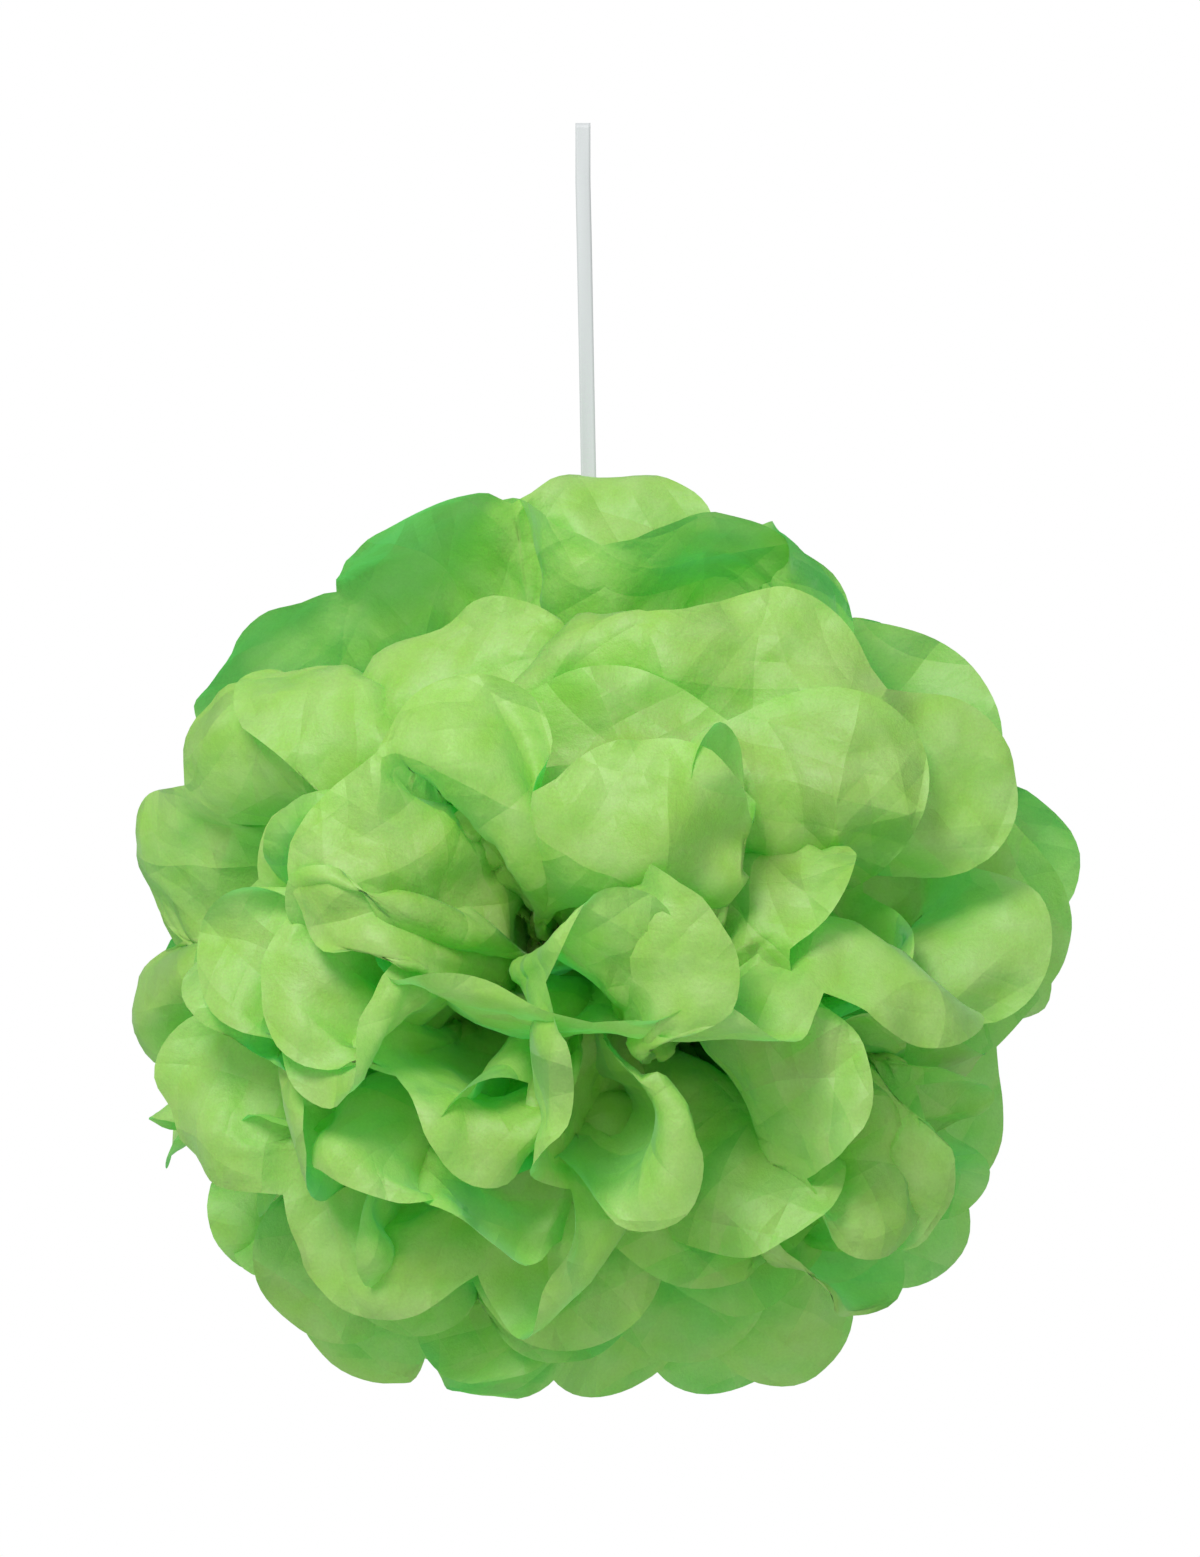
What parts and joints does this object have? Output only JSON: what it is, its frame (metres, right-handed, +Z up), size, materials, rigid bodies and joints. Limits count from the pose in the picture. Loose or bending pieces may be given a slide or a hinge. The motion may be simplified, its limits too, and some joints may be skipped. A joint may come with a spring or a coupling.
{
  "type": "tissue paper pom pom",
  "caption": "Round hanging pom pom of pleated and fluffed green tissue paper, tied at its waist, with a flat ribbon to hang it by.",
  "frame": {"origin": "where the ribbon is pinned or tied to hang the ball, on the ribbon's middle line, 5 mm below its cut end", "axes": "+Z up along the hanging ribbon, -Y towards the viewer and the open flower face, +X to the viewer's right"},
  "size_m": [0.4058, 0.3478, 0.5502],
  "materials": {
    "tissue": "thin matte tissue, translucent, lightly crumpled",
    "ribbon": "white satin weave",
    "wire": "plain soft wire"
  },
  "bodies": {
    "root": {"front_tissue_1": "tissue", "front_tissue_2": "tissue", "front_tissue_3": "tissue", "front_tissue_4": "tissue", "back_tissue_1": "tissue", "back_tissue_2": "tissue", "back_tissue_3": "tissue", "back_tissue_4": "tissue", "waist_tie": "wire", "hanging_ribbon": "ribbon"}
  },
  "joints": []
}
